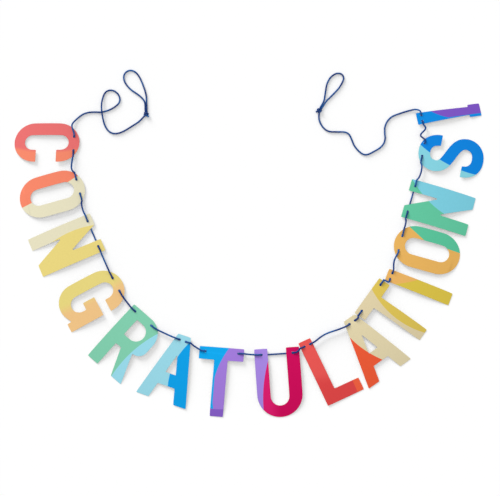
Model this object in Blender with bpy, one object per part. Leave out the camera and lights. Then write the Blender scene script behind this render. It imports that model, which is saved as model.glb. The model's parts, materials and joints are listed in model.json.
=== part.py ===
# Congratulations banner: card letters threaded on one cord, laid out in a wide U on a table.
# The part lies as it is seen from above: +X to the right, +Y up the page, +Z off the table.
# Lengths are in metres. Each letter stands in its own frame: x along its line of reading, y to its top.

import math

import bmesh
import bpy
from mathutils import Matrix, Vector

# Driving dimensions of the card letters
letter_height = 0.127
card_thickness = 0.0005
stem_width = 0.0245
bar_width = 0.0238
crown_width = 0.0208
corner_radius = 0.0015
arc_sag = 0.0002

# Punched holes, which the cord passes on a slant
hole_drop = 0.010
hole_clearance = 0.0006

# Cord
cord_diameter = 0.0025
cord_bend_radius = 0.0055
cord_lead = 0.0008
cord_point_spacing = 0.006
clearance = 0.0003

# Knots: the cord in them is pulled tight and thinner
knot_cord_diameter = 0.002
knot_curl_radius = 0.0014
knot_wave_height = 0.0013

# Layout along the cord
letter_gap = 0.030
sag_share = 0.09

# One row for each shape of letter. After its name come its width as a share of letter_height, the first
# hole's centre as a share of the width plus a share of stem_width, the same two for the second hole, and the
# depth of both below the letter's top as a share of hole_drop. The I has no width of its own: it is one stem
# wide.
shape_share_rows = [
    ("C", 0.625, 0.345, 0, 0.700, 0, 1.10),
    ("O", 0.648, 0.315, 0, 0.670, 0, 1.20),
    ("N", 0.630, 0, 0.555, 1, -0.520, 0.95),
    ("G", 0.636, 0.325, 0, 0.665, 0, 1.30),
    ("R", 0.650, 0, 0.440, 0.625, 0, 0.90),
    ("A", 0.766, 0.435, 0, 0.565, 0, 1.00),
    ("T", 0.650, 0.135, 0, 0.880, 0, 0.90),
    ("U", 0.656, 0, 0.525, 1, -0.510, 1.10),
    ("L", 0.578, 0, 0.315, 0, 0.805, 1.05),
    ("I", 0, 0, 0.250, 0, 0.750, 0.85),
    ("S", 0.632, 0.320, 0, 0.655, 0, 0.90),
    ("mark", 0.205, 0.260, 0, 0.740, 0, 0.95),
]

# One row for each letter along the cord: its name, its shape, the turn of its line of reading in degrees, the
# way from its edge to the next letter's edge as a share of letter_gap plus a share of letter_height, and that
# way's heading in degrees. The way grows with the letters' height where the foot of one would meet the leg of
# the next.
letter_share_rows = [
    ("letter_01_c", "C", -90.3, 1.18, 0, -83),
    ("letter_02_o", "O", -73.8, 0.99, 0, -76),
    ("letter_03_n", "N", -66.0, 1.36, 0, -66),
    ("letter_04_g", "G", -61.0, 0.78, 0, -51),
    ("letter_05_r", "R", -41.0, 0.32, 0.200, -22),
    ("letter_06_a", "A", -19.3, 0.71, 0, -39),
    ("letter_07_t", "T", -4.5, 0.65, 0, -7),
    ("letter_08_u", "U", 3.8, 0.25, 0, 73),
    ("letter_09_l", "L", 24.8, 0.08, 0.525, 26),
    ("letter_10_a", "A", 35.0, 0.13, 0, 103),
    ("letter_11_t", "T", 54.0, 0.36, 0, -13),
    ("letter_12_i", "I", 68.0, 0.89, 0, 74),
    ("letter_13_o", "O", 74.0, 0.70, 0, 80),
    ("letter_14_n", "N", 72.5, 1.24, 0, 76),
    ("letter_15_s", "S", 76.7, 1.06, 0, 98),
    ("letter_16_mark", "mark", 99.5, 0, 0, 0),
]

# Sideways curves of the cord between two letters, as shares of the way: one bow to the left, one wave
bow_and_wave_shares = {
    "letter_01_c": (-0.10, 0.02),
    "letter_02_o": (-0.09, -0.03),
    "letter_09_l": (0.06, 0.01),
    "letter_12_i": (0.14, 0.05),
    "letter_13_o": (-0.03, 0),
    "letter_14_n": (-0.03, 0),
    "letter_15_s": (0.12, 0.16),
}

# Colour of each letter's card
letter_colours = {
    "letter_01_c": "E8706F",
    "letter_02_o": "E5DFC0",
    "letter_03_n": "E8D57E",
    "letter_04_g": "E6D57E",
    "letter_05_r": "84D2B0",
    "letter_06_a": "039FE6",
    "letter_07_t": "9E78D6",
    "letter_08_u": "D90C60",
    "letter_09_l": "E4504C",
    "letter_10_a": "DCCFA8",
    "letter_11_t": "D8C440",
    "letter_12_i": "E6B060",
    "letter_13_o": "E6B260",
    "letter_14_n": "5EC49C",
    "letter_15_s": "0482DC",
    "letter_16_mark": "8258C8",
}
cord_colour = "26408F"

# Sizes that follow from the ones above
cord_radius = cord_diameter / 2
cord_step = cord_diameter + clearance
behind_drop = 2 * cord_radius + 2 * clearance + card_thickness
axis_height = cord_radius + behind_drop
card_drop = cord_radius + clearance + card_thickness / 2
dive_angle = math.acos(1 - behind_drop / (2 * cord_bend_radius))
dive_run = 2 * cord_bend_radius * math.sin(dive_angle)
slant_radius = cord_radius / math.sin(dive_angle) + card_thickness / 2 / math.tan(dive_angle)
hole_radius = slant_radius + hole_clearance
knot_radius = 3 * knot_curl_radius + knot_cord_diameter / 2
knot_reach = knot_radius + clearance
over_share = cord_step / behind_drop
shape_shares = {row[0]: row[1:] for row in shape_share_rows}

# Free ends of the cord, in metres from the hole that they leave: across, up the page, and height as a share
# of the cord's height on the letters' fronts. The left one crosses over itself once. Each ends at its knot.
left_tail_route = [
    (-0.0020, 0.0120, 1),
    (-0.0045, 0.0195, 1),
    (-0.0042, 0.0265, 0.65),
    (0.0025, 0.0360, 0.15),
    (0.0140, 0.0465, 0),
    (0.0255, 0.0510, 0),
    (0.0375, 0.0520, 0),
    (0.0525, 0.0520, 0),
    (0.0675, 0.0570, 0),
    (0.0790, 0.0645, 0),
    (0.0855, 0.0725, 0),
    (0.0860, 0.0815, 0),
    (0.0820, 0.0905, 0),
    (0.0735, 0.0970, 0),
    (0.0640, 0.0975, 0),
    (0.0570, 0.0925, 0),
    (0.0530, 0.0815, 0.2),
    (0.0512, 0.0665, over_share * 0.8),
    (0.0523, 0.0520, over_share),
    (0.0545, 0.0390, over_share * 0.6),
    (0.0580, 0.0260, 0.1),
    (0.0645, 0.0145, 0),
    (0.0735, 0.0080, 0),
    (0.0840, 0.0075, 0),
    (0.0950, 0.0115, 0),
    (0.1105, 0.0215, 0),
    (0.1250, 0.0320, 0),
    (0.1351, 0.0431, 0),
]
right_tail_route = [
    (-0.0025, 0.0090, 0.9),
    (-0.0070, 0.0115, 0.6),
    (-0.0140, 0.0120, 0.3),
    (-0.0270, 0.0090, 0),
    (-0.0420, 0.0040, 0),
    (-0.0570, -0.0025, 0),
    (-0.0665, -0.0125, 0),
    (-0.0715, -0.0245, 0),
    (-0.0722, -0.0365, 0),
    (-0.0718, -0.0480, 0),
    (-0.0750, -0.0585, 0),
    (-0.0830, -0.0675, 0),
    (-0.0950, -0.0750, 0),
    (-0.1060, -0.0805, 0),
    (-0.1145, -0.0805, 0),
    (-0.1235, -0.0740, 0),
    (-0.1325, -0.0620, 0),
    (-0.1375, -0.0485, 0),
    (-0.1420, -0.0390, 0),
    (-0.1505, -0.0345, 0),
    (-0.1645, -0.0340, 0),
    (-0.1805, -0.0330, 0),
    (-0.1905, -0.0265, 0),
    (-0.1975, -0.0155, 0),
    (-0.2000, -0.0050, 0),
    (-0.1993, 0.0050, 0),
]

# Hanging loops, in metres from the middle of their knot: across and up the page
left_loop_route = [
    (0.0013, 0.0054),
    (0.0011, 0.0120),
    (0.0008, 0.0190),
    (0.0002, 0.0280),
    (-0.0006, 0.0380),
    (-0.0032, 0.0490),
    (-0.0085, 0.0640),
    (-0.0155, 0.0795),
    (-0.0230, 0.0890),
    (-0.0320, 0.0930),
    (-0.0405, 0.0905),
    (-0.0455, 0.0830),
    (-0.0455, 0.0735),
    (-0.0410, 0.0635),
    (-0.0315, 0.0525),
    (-0.0175, 0.0420),
    (-0.0085, 0.0340),
    (-0.0036, 0.0265),
    (-0.0023, 0.0190),
    (-0.0020, 0.0120),
    (-0.0016, 0.0054),
]
right_loop_route = [
    (0.0014, 0.0051),
    (0.0042, 0.0103),
    (0.0072, 0.0155),
    (0.0098, 0.0220),
    (0.0113, 0.0300),
    (0.0130, 0.0410),
    (0.0160, 0.0560),
    (0.0225, 0.0690),
    (0.0325, 0.0775),
    (0.0425, 0.0785),
    (0.0483, 0.0730),
    (0.0480, 0.0635),
    (0.0400, 0.0485),
    (0.0275, 0.0340),
    (0.0165, 0.0225),
    (0.0104, 0.0142),
    (0.0070, 0.0088),
    (0.0039, 0.0036),
]


# Outlines

def rounded(corners, radius):
    """Closed outline through corners of (x, y) or (x, y, radius), each one turned by an arc."""
    count = len(corners)
    places = [Vector(corner[:2]) for corner in corners]
    turns = []
    cuts = []
    for index, corner in enumerate(corners):
        before = places[index - 1] - places[index]
        after = places[(index + 1) % count] - places[index]
        turns.append(math.pi - before.angle(after))
        cuts.append((corner[2] if len(corner) > 2 else radius) * math.tan(turns[-1] / 2))
    limits = [1] * count
    for index in range(count):
        following = (index + 1) % count
        length = (places[following] - places[index]).length
        share = length / max(length, cuts[index] + cuts[following])
        limits[index] = min(limits[index], share)
        limits[following] = min(limits[following], share)
    points = []
    for index, here in enumerate(places):
        cut = cuts[index] * limits[index]
        if cut <= 0 or turns[index] < math.radians(1):
            points.append(here)
            continue
        before = (places[index - 1] - here).normalized()
        after = (places[(index + 1) % count] - here).normalized()
        size = cut / math.tan(turns[index] / 2)
        middle = here + (before + after).normalized() * size / math.cos(turns[index] / 2)
        spoke = here + before * cut - middle
        sweep = math.copysign(turns[index], -before.cross(after))
        step = 2 * math.acos(max(0, 1 - arc_sag / size))
        pieces = math.ceil(turns[index] / step)
        for piece in range(pieces + 1):
            points.append(middle + Matrix.Rotation(sweep * piece / pieces, 2) @ spoke)
    return [point for index, point in enumerate(points) if (point - points[index - 1]).length > arc_sag]


def punched_hole(x, y):
    """Round outline of a hole."""
    step = 2 * math.acos(1 - arc_sag / 2 / hole_radius)
    count = math.ceil(2 * math.pi / step)
    spoke = Vector((hole_radius, 0))
    turns = [2 * math.pi * index / count for index in range(count)]
    return [Vector((x, y)) + Matrix.Rotation(turn, 2) @ spoke for turn in turns]


def oblong(width, side, end):
    """Upright oblong with round ends, set in from the letter's box by side and end."""
    radius = width / 2 - side
    corners = [
        (side, end, radius),
        (width - side, end, radius),
        (width - side, letter_height - end, radius),
        (side, letter_height - end, radius),
    ]
    return rounded(corners, radius)


def shape_c(width):
    """Open ring with two level terminals on the right."""
    arm_shares = (0.340, 0.650)
    low_arm, high_arm = [share * letter_height for share in arm_shares]
    outer = width / 2
    inner = width / 2 - stem_width
    right = width - stem_width
    corners = [
        (width, low_arm),
        (right, low_arm),
        (right, crown_width, inner),
        (stem_width, crown_width, inner),
        (stem_width, letter_height - crown_width, inner),
        (right, letter_height - crown_width, inner),
        (right, high_arm),
        (width, high_arm),
        (width, letter_height, outer),
        (0, letter_height, outer),
        (0, 0, outer),
        (width, 0, outer),
    ]
    return [rounded(corners, corner_radius)]


def shape_o(width):
    """Closed ring."""
    return [oblong(width, 0, 0), oblong(width, stem_width, crown_width)]


def shape_g(width):
    """Ring with a crossbar and a spur at the lower right."""
    arm_share = 0.650
    bar_top_share = 0.530
    bar_left_share = 0.520
    bowl_share = 0.560
    spur_share = 0.780
    notch_share = 0.075
    arm = arm_share * letter_height
    bar_top = bar_top_share * letter_height
    outer = width / 2
    inner = width / 2 - stem_width
    right = width - stem_width
    spur = spur_share * width
    corners = [
        (width, 0),
        (width, bar_top),
        (bar_left_share * width, bar_top),
        (bar_left_share * width, bar_top - bar_width),
        (right, bar_top - bar_width),
        (right, crown_width, inner),
        (stem_width, crown_width, inner),
        (stem_width, letter_height - crown_width, inner),
        (right, letter_height - crown_width, inner),
        (right, arm),
        (width, arm),
        (width, letter_height, outer),
        (0, letter_height, outer),
        (0, 0, outer),
        (bowl_share * width, 0, outer),
        (spur, notch_share * letter_height),
        (spur, 0),
    ]
    return [rounded(corners, corner_radius)]


def shape_r(width):
    """Stem, round bowl and straight leg."""
    bowl_right_share = 0.965
    bowl_bottom_share = 0.440
    bowl_inner_share = 0.690
    counter_shares = (0.570, 0.855)
    crotch_share = 0.400
    crotch_right_share = 0.450
    leg_shares = (0.700, 0.735)
    right = bowl_right_share * width
    bottom = bowl_bottom_share * letter_height
    crotch = crotch_share * letter_height
    low, high = [share * letter_height for share in counter_shares]
    bowl = (letter_height - bottom) / 2
    corners = [
        (0, 0),
        (stem_width, 0),
        (stem_width, crotch),
        (crotch_right_share * width, crotch),
        (leg_shares[0] * width, 0),
        (width, 0),
        (leg_shares[1] * width, bottom),
        (right, bottom + corner_radius, bowl / 2),
        (right, letter_height, bowl),
        (0, letter_height),
    ]
    counter = [
        (stem_width, low),
        (bowl_inner_share * width, low, high - low),
        (bowl_inner_share * width, high, high - low),
        (stem_width, high),
    ]
    return [rounded(corners, corner_radius), rounded(counter, corner_radius)]


def shape_a(width):
    """Two slanting legs, a level top and a crossbar under a pointed counter."""
    top_share = 0.255
    bar_shares = (0.225, 0.410)
    apex_share = 0.705
    middle = width / 2
    half_top = top_share * width / 2
    apex = apex_share * letter_height
    low, high = [share * letter_height for share in bar_shares]
    low_inside = stem_width + (middle - stem_width) * low / apex
    high_inside = stem_width + (middle - stem_width) * high / apex
    corners = [
        (0, 0),
        (stem_width, 0),
        (low_inside, low),
        (width - low_inside, low),
        (width - stem_width, 0),
        (width, 0),
        (middle + half_top, letter_height),
        (middle - half_top, letter_height),
    ]
    counter = [(high_inside, high), (width - high_inside, high), (middle, apex)]
    return [rounded(corners, corner_radius), rounded(counter, corner_radius / 2)]


def shape_n(width):
    """Two stems joined by a diagonal."""
    notch_share = 0.480
    right = width - stem_width
    low_notch = notch_share * letter_height
    high_notch = letter_height - low_notch
    corners = [
        (0, 0),
        (stem_width, 0),
        (stem_width, low_notch),
        (right, 0),
        (width, 0),
        (width, letter_height),
        (right, letter_height),
        (right, high_notch),
        (stem_width, letter_height),
        (0, letter_height),
    ]
    return [rounded(corners, corner_radius)]


def shape_t(width):
    """Level bar on a stem."""
    left = (width - stem_width) / 2
    right = (width + stem_width) / 2
    bar = letter_height - bar_width
    corners = [
        (left, 0),
        (right, 0),
        (right, bar),
        (width, bar),
        (width, letter_height),
        (0, letter_height),
        (0, bar),
        (left, bar),
    ]
    return [rounded(corners, corner_radius)]


def shape_u(width):
    """Two stems joined by a round bottom."""
    outer = width / 2
    inner = width / 2 - stem_width
    corners = [
        (0, 0, outer),
        (width, 0, outer),
        (width, letter_height),
        (width - stem_width, letter_height),
        (width - stem_width, crown_width, inner),
        (stem_width, crown_width, inner),
        (stem_width, letter_height),
        (0, letter_height),
    ]
    return [rounded(corners, corner_radius)]


def shape_l(width):
    """Stem on a level foot."""
    corners = [
        (0, 0),
        (width, 0),
        (width, bar_width),
        (stem_width, bar_width),
        (stem_width, letter_height),
        (0, letter_height),
    ]
    return [rounded(corners, corner_radius)]


def shape_i(width):
    """Plain stem."""
    corners = [(0, 0), (width, 0), (width, letter_height), (0, letter_height)]
    return [rounded(corners, corner_radius)]


def shape_mark(width):
    """Exclamation mark: a tapering stroke that runs into a square block."""
    neck_share = 0.520
    top_share = 0.820
    middle = width / 2
    neck = neck_share * width / 2
    top = top_share * width / 2
    corners = [
        (0, 0),
        (width, 0),
        (width, bar_width),
        (middle + neck, bar_width),
        (middle + top, letter_height),
        (middle - top, letter_height),
        (middle - neck, bar_width),
        (0, bar_width),
    ]
    return [rounded(corners, corner_radius)]


def shape_s(width):
    """Stroke of even width along a double curve."""
    half = (stem_width + crown_width) / 4
    curve_shares = [
        ((0.93, 0.72), (0.93, 0.88), (0.76, 1.00), (0.47, 1.00)),
        ((0.47, 1.00), (0.18, 1.00), (0.00, 0.91), (0.00, 0.76)),
        ((0.00, 0.76), (0.00, 0.49), (1.00, 0.53), (1.00, 0.25)),
        ((1.00, 0.25), (1.00, 0.09), (0.80, 0.00), (0.49, 0.00)),
        ((0.49, 0.00), (0.20, 0.00), (0.00, 0.10), (0.00, 0.27)),
    ]
    pieces = 9
    left = []
    right = []
    for number, shares in enumerate(curve_shares):
        controls = [
            Vector((half + share[0] * (width - 2 * half), half + share[1] * (letter_height - 2 * half)))
            for share in shares
        ]
        for piece in range(1 if number else 0, pieces + 1):
            place, heading = cubic(controls, piece / pieces)
            side = Vector((-heading.y, heading.x)).normalized() * half
            left.append(place + side)
            right.append(place - side)
    outline = [(*point, 0) for point in left] + [(*point, 0) for point in reversed(right)]
    for end in (0, len(left) - 1, len(left), -1):
        outline[end] = (*outline[end][:2], corner_radius)
    return [rounded(outline, corner_radius)]


def cubic(controls, share):
    """Place and heading on a cubic curve."""
    a, b, c, d = controls
    rest = 1 - share
    place = a * rest ** 3 + b * 3 * rest ** 2 * share + c * 3 * rest * share ** 2 + d * share ** 3
    heading = (b - a) * rest ** 2 + (c - b) * 2 * rest * share + (d - c) * share ** 2
    return place, heading


shapes = {
    "C": shape_c,
    "O": shape_o,
    "N": shape_n,
    "G": shape_g,
    "R": shape_r,
    "A": shape_a,
    "T": shape_t,
    "U": shape_u,
    "L": shape_l,
    "I": shape_i,
    "S": shape_s,
    "mark": shape_mark,
}


def letter_width(shape):
    """Width of a letter's box."""
    return shape_shares[shape][0] * letter_height or stem_width


def hole_line(shape):
    """Height of the holes' centres in the letter's box."""
    return letter_height - shape_shares[shape][5] * hole_drop


def hole_places(shape):
    """Places of the two holes along the letter's line of reading, from the middle of its box."""
    width = letter_width(shape)
    of_width, of_stem, next_of_width, next_of_stem = shape_shares[shape][1:5]
    return (
        of_width * width + of_stem * stem_width - width / 2,
        next_of_width * width + next_of_stem * stem_width - width / 2,
    )


def edges_on_hole_line(shape):
    """Where the letter's outer edges cross the line of its holes, from the middle of its box."""
    width = letter_width(shape)
    outer = shapes[shape](width)[0]
    line = hole_line(shape)
    crossings = []
    for index, end in enumerate(outer):
        start = outer[index - 1]
        if (start.y - line) * (end.y - line) < 0:
            share = (line - start.y) / (end.y - start.y)
            crossings.append(start.x + share * (end.x - start.x) - width / 2)
    return min(crossings), max(crossings)


# Layout

def turned(vector, degrees):
    """A vector on the table turned to the left."""
    return Matrix.Rotation(math.radians(degrees), 2) @ vector


def layout():
    """Name, shape, turn in degrees and origin of each letter on the table."""
    rows = []
    start = Vector((0, 0))
    for name, shape, turn, gap_share, height_share, heading in letter_share_rows:
        left, right = edges_on_hole_line(shape)
        origin = start - turned(Vector((left, 0)), turn)
        end = origin + turned(Vector((right, 0)), turn)
        rows.append((name, shape, turn, origin))
        way = gap_share * letter_gap + height_share * letter_height
        start = end + turned(Vector((way, 0)), heading)
    return centred(rows)


def centred(rows):
    """The layout moved so that the letters' common box is centred on the origin."""
    places = []
    for name, shape, turn, origin in rows:
        corner = Vector((letter_width(shape) / 2, hole_line(shape)))
        for point in shapes[shape](letter_width(shape))[0]:
            places.append(origin + turned(point - corner, turn))
    low = Vector((min(place.x for place in places), min(place.y for place in places)))
    high = Vector((max(place.x for place in places), max(place.y for place in places)))
    return [(name, shape, turn, origin - (low + high) / 2) for name, shape, turn, origin in rows]


# Routes of the cord

def dive(start, sign):
    """The slanting pass through a hole, as two equal arcs from the front to the back."""
    points = []
    pieces = 3
    for piece in range(pieces):
        angle = dive_angle * piece / pieces
        points.append((cord_bend_radius * math.sin(angle), -cord_bend_radius * (1 - math.cos(angle))))
    for piece in range(pieces, -1, -1):
        angle = dive_angle * piece / pieces
        across = dive_run - cord_bend_radius * math.sin(angle)
        points.append((across, cord_bend_radius * (1 - math.cos(angle)) - behind_drop))
    return [Vector((start + sign * across, 0, height)) for across, height in points]


def stitch_ends(shape):
    """The two ends of the cord that belongs to a letter, along its line of reading."""
    first, second = hole_places(shape)
    return first - dive_run / 2 - cord_lead, second + dive_run / 2 + cord_lead


def stitch_route(shape):
    """The cord down one hole, behind the card and up the other hole, in the letter's level frame."""
    start, end = stitch_ends(shape)
    down = dive(start + cord_lead, 1)
    up = dive(end - cord_lead, -1)
    return [Vector((start, 0, 0))] + down + up[::-1] + [Vector((end, 0, 0))]


def place_on(row, x):
    """Place on the table of a point on a letter's hole line."""
    name, shape, turn, origin = row
    return origin + turned(Vector((x, 0)), turn)


def span_route(row, following):
    """The cord from one letter's front to the next one's: a curve that sags between their edges."""
    bow_share, wave_share = bow_and_wave_shares.get(row[0], (0, 0))
    first = place_on(row, stitch_ends(row[1])[1] + clearance)
    last = place_on(following, stitch_ends(following[1])[0] - clearance)
    start = first + turned(Vector((cord_lead, 0)), row[2])
    end = last - turned(Vector((cord_lead, 0)), following[2])
    way = end - start
    handle_share = 0.15
    controls = [
        start,
        start + turned(Vector((handle_share * way.length, 0)), row[2]),
        end - turned(Vector((handle_share * way.length, 0)), following[2]),
        end,
    ]
    on_card = edges_on_hole_line(row[1])[1] - stitch_ends(row[1])[1] + cord_diameter
    on_next = stitch_ends(following[1])[0] - edges_on_hole_line(following[1])[0] + cord_diameter
    leave = on_card / way.length
    free_share = max(1 - (on_card + on_next) / way.length, 0)
    sag = min(sag_share * free_share * way.length, behind_drop)
    side = Vector((-way.y, way.x))
    pieces = max(4, math.ceil(way.length / cord_point_spacing))
    points = [Vector((*first, axis_height))]
    for piece in range(pieces + 1):
        share = piece / pieces
        place = cubic(controls, share)[0]
        fade = math.sin(math.pi * share) ** 2
        place += side * fade * (bow_share + wave_share * 2 * math.sin(2 * math.pi * share))
        along = min(max(share - leave, 0), free_share)
        dip = sag * math.sin(math.pi * along / free_share) ** 2 if free_share else 0
        points.append(Vector((*place, axis_height - dip)))
    return points + [Vector((*last, axis_height))]


def smooth_route(points, spacing):
    """Even points, about one spacing apart, on a smooth curve through the given points."""
    dense = []
    steps = 12
    padded = [2 * points[0] - points[1]] + points + [2 * points[-1] - points[-2]]
    for index in range(1, len(padded) - 2):
        a, b, c, d = padded[index - 1:index + 3]
        for step in range(steps):
            share = step / steps
            dense.append((2 * b + (c - a) * share + (2 * a - 5 * b + 4 * c - d) * share ** 2
                          + (3 * b - a - 3 * c + d) * share ** 3) / 2)
    dense.append(points[-1])
    lengths = [0]
    for index in range(1, len(dense)):
        lengths.append(lengths[-1] + (dense[index] - dense[index - 1]).length)
    pieces = round(lengths[-1] / spacing)
    even = []
    index = 1
    for piece in range(pieces + 1):
        goal = lengths[-1] * piece / pieces
        while index < len(dense) - 1 and lengths[index] < goal:
            index += 1
        share = (goal - lengths[index - 1]) / (lengths[index] - lengths[index - 1])
        even.append(dense[index - 1].lerp(dense[index], share))
    return even


def tail_route(row, hole, end, route):
    """A free end of the cord, from the letter's front to its knot on the table."""
    sign = math.copysign(1, end)
    origin = place_on(row, hole)
    start = Vector((*place_on(row, end + sign * clearance), axis_height))
    lead = Vector((*place_on(row, end + sign * (clearance + cord_lead)), axis_height))
    points = [start, lead + (lead - start)]
    for across, up, height_share in route:
        points.append(Vector((origin.x + across, origin.y + up, cord_radius + height_share * behind_drop)))
    return [start, lead] + smooth_route(points, cord_point_spacing)[1:]


def knot_place(tail):
    """Middle of the knot that a tail runs into, on the table."""
    heading = (tail[-1] - tail[-2]).normalized()
    return Vector((tail[-1].x, tail[-1].y)) + Vector((heading.x, heading.y)) * knot_reach


def knot_route(middle, heading):
    """The cord of a closed overhand knot that lies flat: three curls, each one over and under the next."""
    points = []
    pieces = 36
    for piece in range(pieces):
        turn = 2 * math.pi * piece / pieces
        reach = knot_curl_radius * (2 + math.cos(3 * turn))
        across = turned(Vector((reach, 0)), math.degrees(2 * turn) + heading)
        height = knot_cord_diameter / 2 + knot_wave_height * (1 + math.sin(3 * turn))
        points.append(Vector((*(middle + across), height)))
    return points


def loop_route(middle, route):
    """A hanging loop, which leaves its knot and comes back to it beside itself."""
    points = [Vector((middle.x + across, middle.y + up, cord_radius)) for across, up in route]
    return smooth_route(points, cord_point_spacing)


# Building blocks

def material(name, colour, roughness):
    """Principled material from an sRGB hex colour."""
    made = bpy.data.materials.new(name)
    made.use_nodes = True
    shader = made.node_tree.nodes["Principled BSDF"]
    channels = [int(colour[index:index + 2], 16) / 255 for index in (0, 2, 4)]
    linear = [channel / 12.92 if channel <= 0.04045 else ((channel + 0.055) / 1.055) ** 2.4
              for channel in channels]
    shader.inputs["Base Color"].default_value = (*linear, 1)
    shader.inputs["Roughness"].default_value = roughness
    shader.inputs["Metallic"].default_value = 0
    made.diffuse_color = (*linear, 1)
    return made


def add(name, data, finish, parent=None):
    """Puts a mesh or curve in the scene under a name."""
    data.materials.append(finish)
    made = bpy.data.objects.new(name, data)
    bpy.context.collection.objects.link(made)
    made.parent = parent
    return made


def card_mesh(name, shape):
    """Flat card face with its holes, in the letter's frame, its origin on the cord's axis."""
    width = letter_width(shape)
    line = hole_line(shape)
    loops = shapes[shape](width) + [punched_hole(place + width / 2, line) for place in hole_places(shape)]
    sheet = bmesh.new()
    edges = []
    for loop in loops:
        corners = [sheet.verts.new((point.x - width / 2, point.y - line, -card_drop)) for point in loop]
        for index, corner in enumerate(corners):
            edges.append(sheet.edges.new((corners[index - 1], corner)))
    bmesh.ops.triangle_fill(sheet, use_beauty=True, use_dissolve=False, edges=edges, normal=(0, 0, 1))
    mesh = bpy.data.meshes.new(name)
    sheet.to_mesh(mesh)
    sheet.free()
    return mesh


def card_letter(name, shape, parent):
    """One card letter, tipped so that its lower edge meets the table."""
    finish = material(name + "_card", letter_colours[name], 0.6)
    made = add(name, card_mesh(name, shape), finish, parent)
    back = card_drop + card_thickness / 2
    reach = hole_line(shape)
    made.rotation_euler.x = math.asin(axis_height / math.hypot(reach, back)) - math.atan2(back, reach)
    sheet = made.modifiers.new("card_thickness", "SOLIDIFY")
    sheet.thickness = card_thickness
    sheet.offset = 0
    return made


def tube(name, points, diameter, parent=None, closed=False):
    """Cord along a list of points."""
    curve = bpy.data.curves.new(name, "CURVE")
    curve.dimensions = "3D"
    curve.bevel_depth = diameter / 2
    curve.bevel_resolution = 2
    curve.use_fill_caps = True
    spline = curve.splines.new("POLY")
    spline.points.add(len(points) - 1)
    for point, place in zip(spline.points, points):
        point.co = (*place, 1)
    spline.use_cyclic_u = closed
    return add(name, curve, material(name + "_cotton", cord_colour, 0.8), parent)


def main():
    """Builds the whole banner."""
    for old in list(bpy.data.objects):
        bpy.data.objects.remove(old)
    rows = layout()
    for row in rows:
        name, shape, turn, origin = row
        place = bpy.data.objects.new(name.replace("letter", "place"), None)
        bpy.context.collection.objects.link(place)
        place.location = (*origin, axis_height)
        place.rotation_euler.z = math.radians(turn)
        card_letter(name, shape, place)
        tube(name.replace("letter", "cord_through"), stitch_route(shape), cord_diameter, place)
    for row, following in zip(rows, rows[1:]):
        name = "cord_span_" + row[0].split("_")[1] + "_" + following[0].split("_")[1]
        tube(name, span_route(row, following), cord_diameter)
    for side, row, index, route, loop in (
        ("left", rows[0], 0, left_tail_route, left_loop_route),
        ("right", rows[-1], 1, right_tail_route, right_loop_route),
    ):
        tail = tail_route(row, hole_places(row[1])[index], stitch_ends(row[1])[index], route)
        knot = knot_place(tail)
        back = Vector((tail[-1].x, tail[-1].y)) - knot
        tube("cord_tail_" + side, tail, cord_diameter)
        heading = math.degrees(math.atan2(back.y, back.x))
        tube("knot_" + side, knot_route(knot, heading), knot_cord_diameter, closed=True)
        tube("hanging_loop_" + side, loop_route(knot, loop), cord_diameter)


main()
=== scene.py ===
# %% [markdown]
# # A banner of card letters on a cord
# Sixteen letters of printed card hang on one twisted cotton cord. Each letter has two punched holes
# near its top. The cord runs over the card's front, down one hole, behind the card and up the
# other. Here the banner lies in a wide curve on a table and is seen from above.
#
# The first step loads the measured model. Its solids say where each piece is, so everything that is
# made later is put exactly there, in metres. The camera, lamp and cube of a new file are taken
# away.

# %% Load the measured model
import json
import math

import bmesh
import bpy
import numpy as np
from mathutils import Matrix, Vector

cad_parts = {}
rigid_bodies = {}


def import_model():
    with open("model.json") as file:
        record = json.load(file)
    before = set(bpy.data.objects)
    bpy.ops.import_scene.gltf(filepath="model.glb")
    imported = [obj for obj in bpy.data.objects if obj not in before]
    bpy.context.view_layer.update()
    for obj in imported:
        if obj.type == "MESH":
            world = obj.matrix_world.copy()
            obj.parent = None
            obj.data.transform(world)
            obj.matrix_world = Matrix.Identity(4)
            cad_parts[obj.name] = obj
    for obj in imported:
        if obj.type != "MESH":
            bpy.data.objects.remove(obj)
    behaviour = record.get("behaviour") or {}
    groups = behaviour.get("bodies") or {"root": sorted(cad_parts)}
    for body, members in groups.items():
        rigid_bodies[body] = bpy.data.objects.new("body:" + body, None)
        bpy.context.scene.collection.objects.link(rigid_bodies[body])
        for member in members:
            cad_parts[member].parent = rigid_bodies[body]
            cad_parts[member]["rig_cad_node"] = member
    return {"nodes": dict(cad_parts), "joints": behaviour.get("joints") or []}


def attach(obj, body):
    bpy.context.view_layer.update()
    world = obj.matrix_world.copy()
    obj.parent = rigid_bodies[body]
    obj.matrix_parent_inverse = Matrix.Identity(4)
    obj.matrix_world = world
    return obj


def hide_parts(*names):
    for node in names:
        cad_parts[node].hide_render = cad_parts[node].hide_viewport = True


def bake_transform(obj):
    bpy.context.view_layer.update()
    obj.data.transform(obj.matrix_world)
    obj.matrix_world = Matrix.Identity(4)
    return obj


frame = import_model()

for name in ("Cube", "Camera", "Light"):
    spare = bpy.data.objects.get(name)
    if spare:
        bpy.data.objects.remove(spare)
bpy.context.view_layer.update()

# %% [markdown]
# ## The camera
# The photograph looks down on the table, tipped by 15 degrees, so the lower letters stand a little
# nearer. A lens of 79 mm on a 36 mm sensor sees a field about 0.95 m wide from 2.09 m away. The
# camera is made first, because the free ends of the cord have to lie inside its view.

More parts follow.
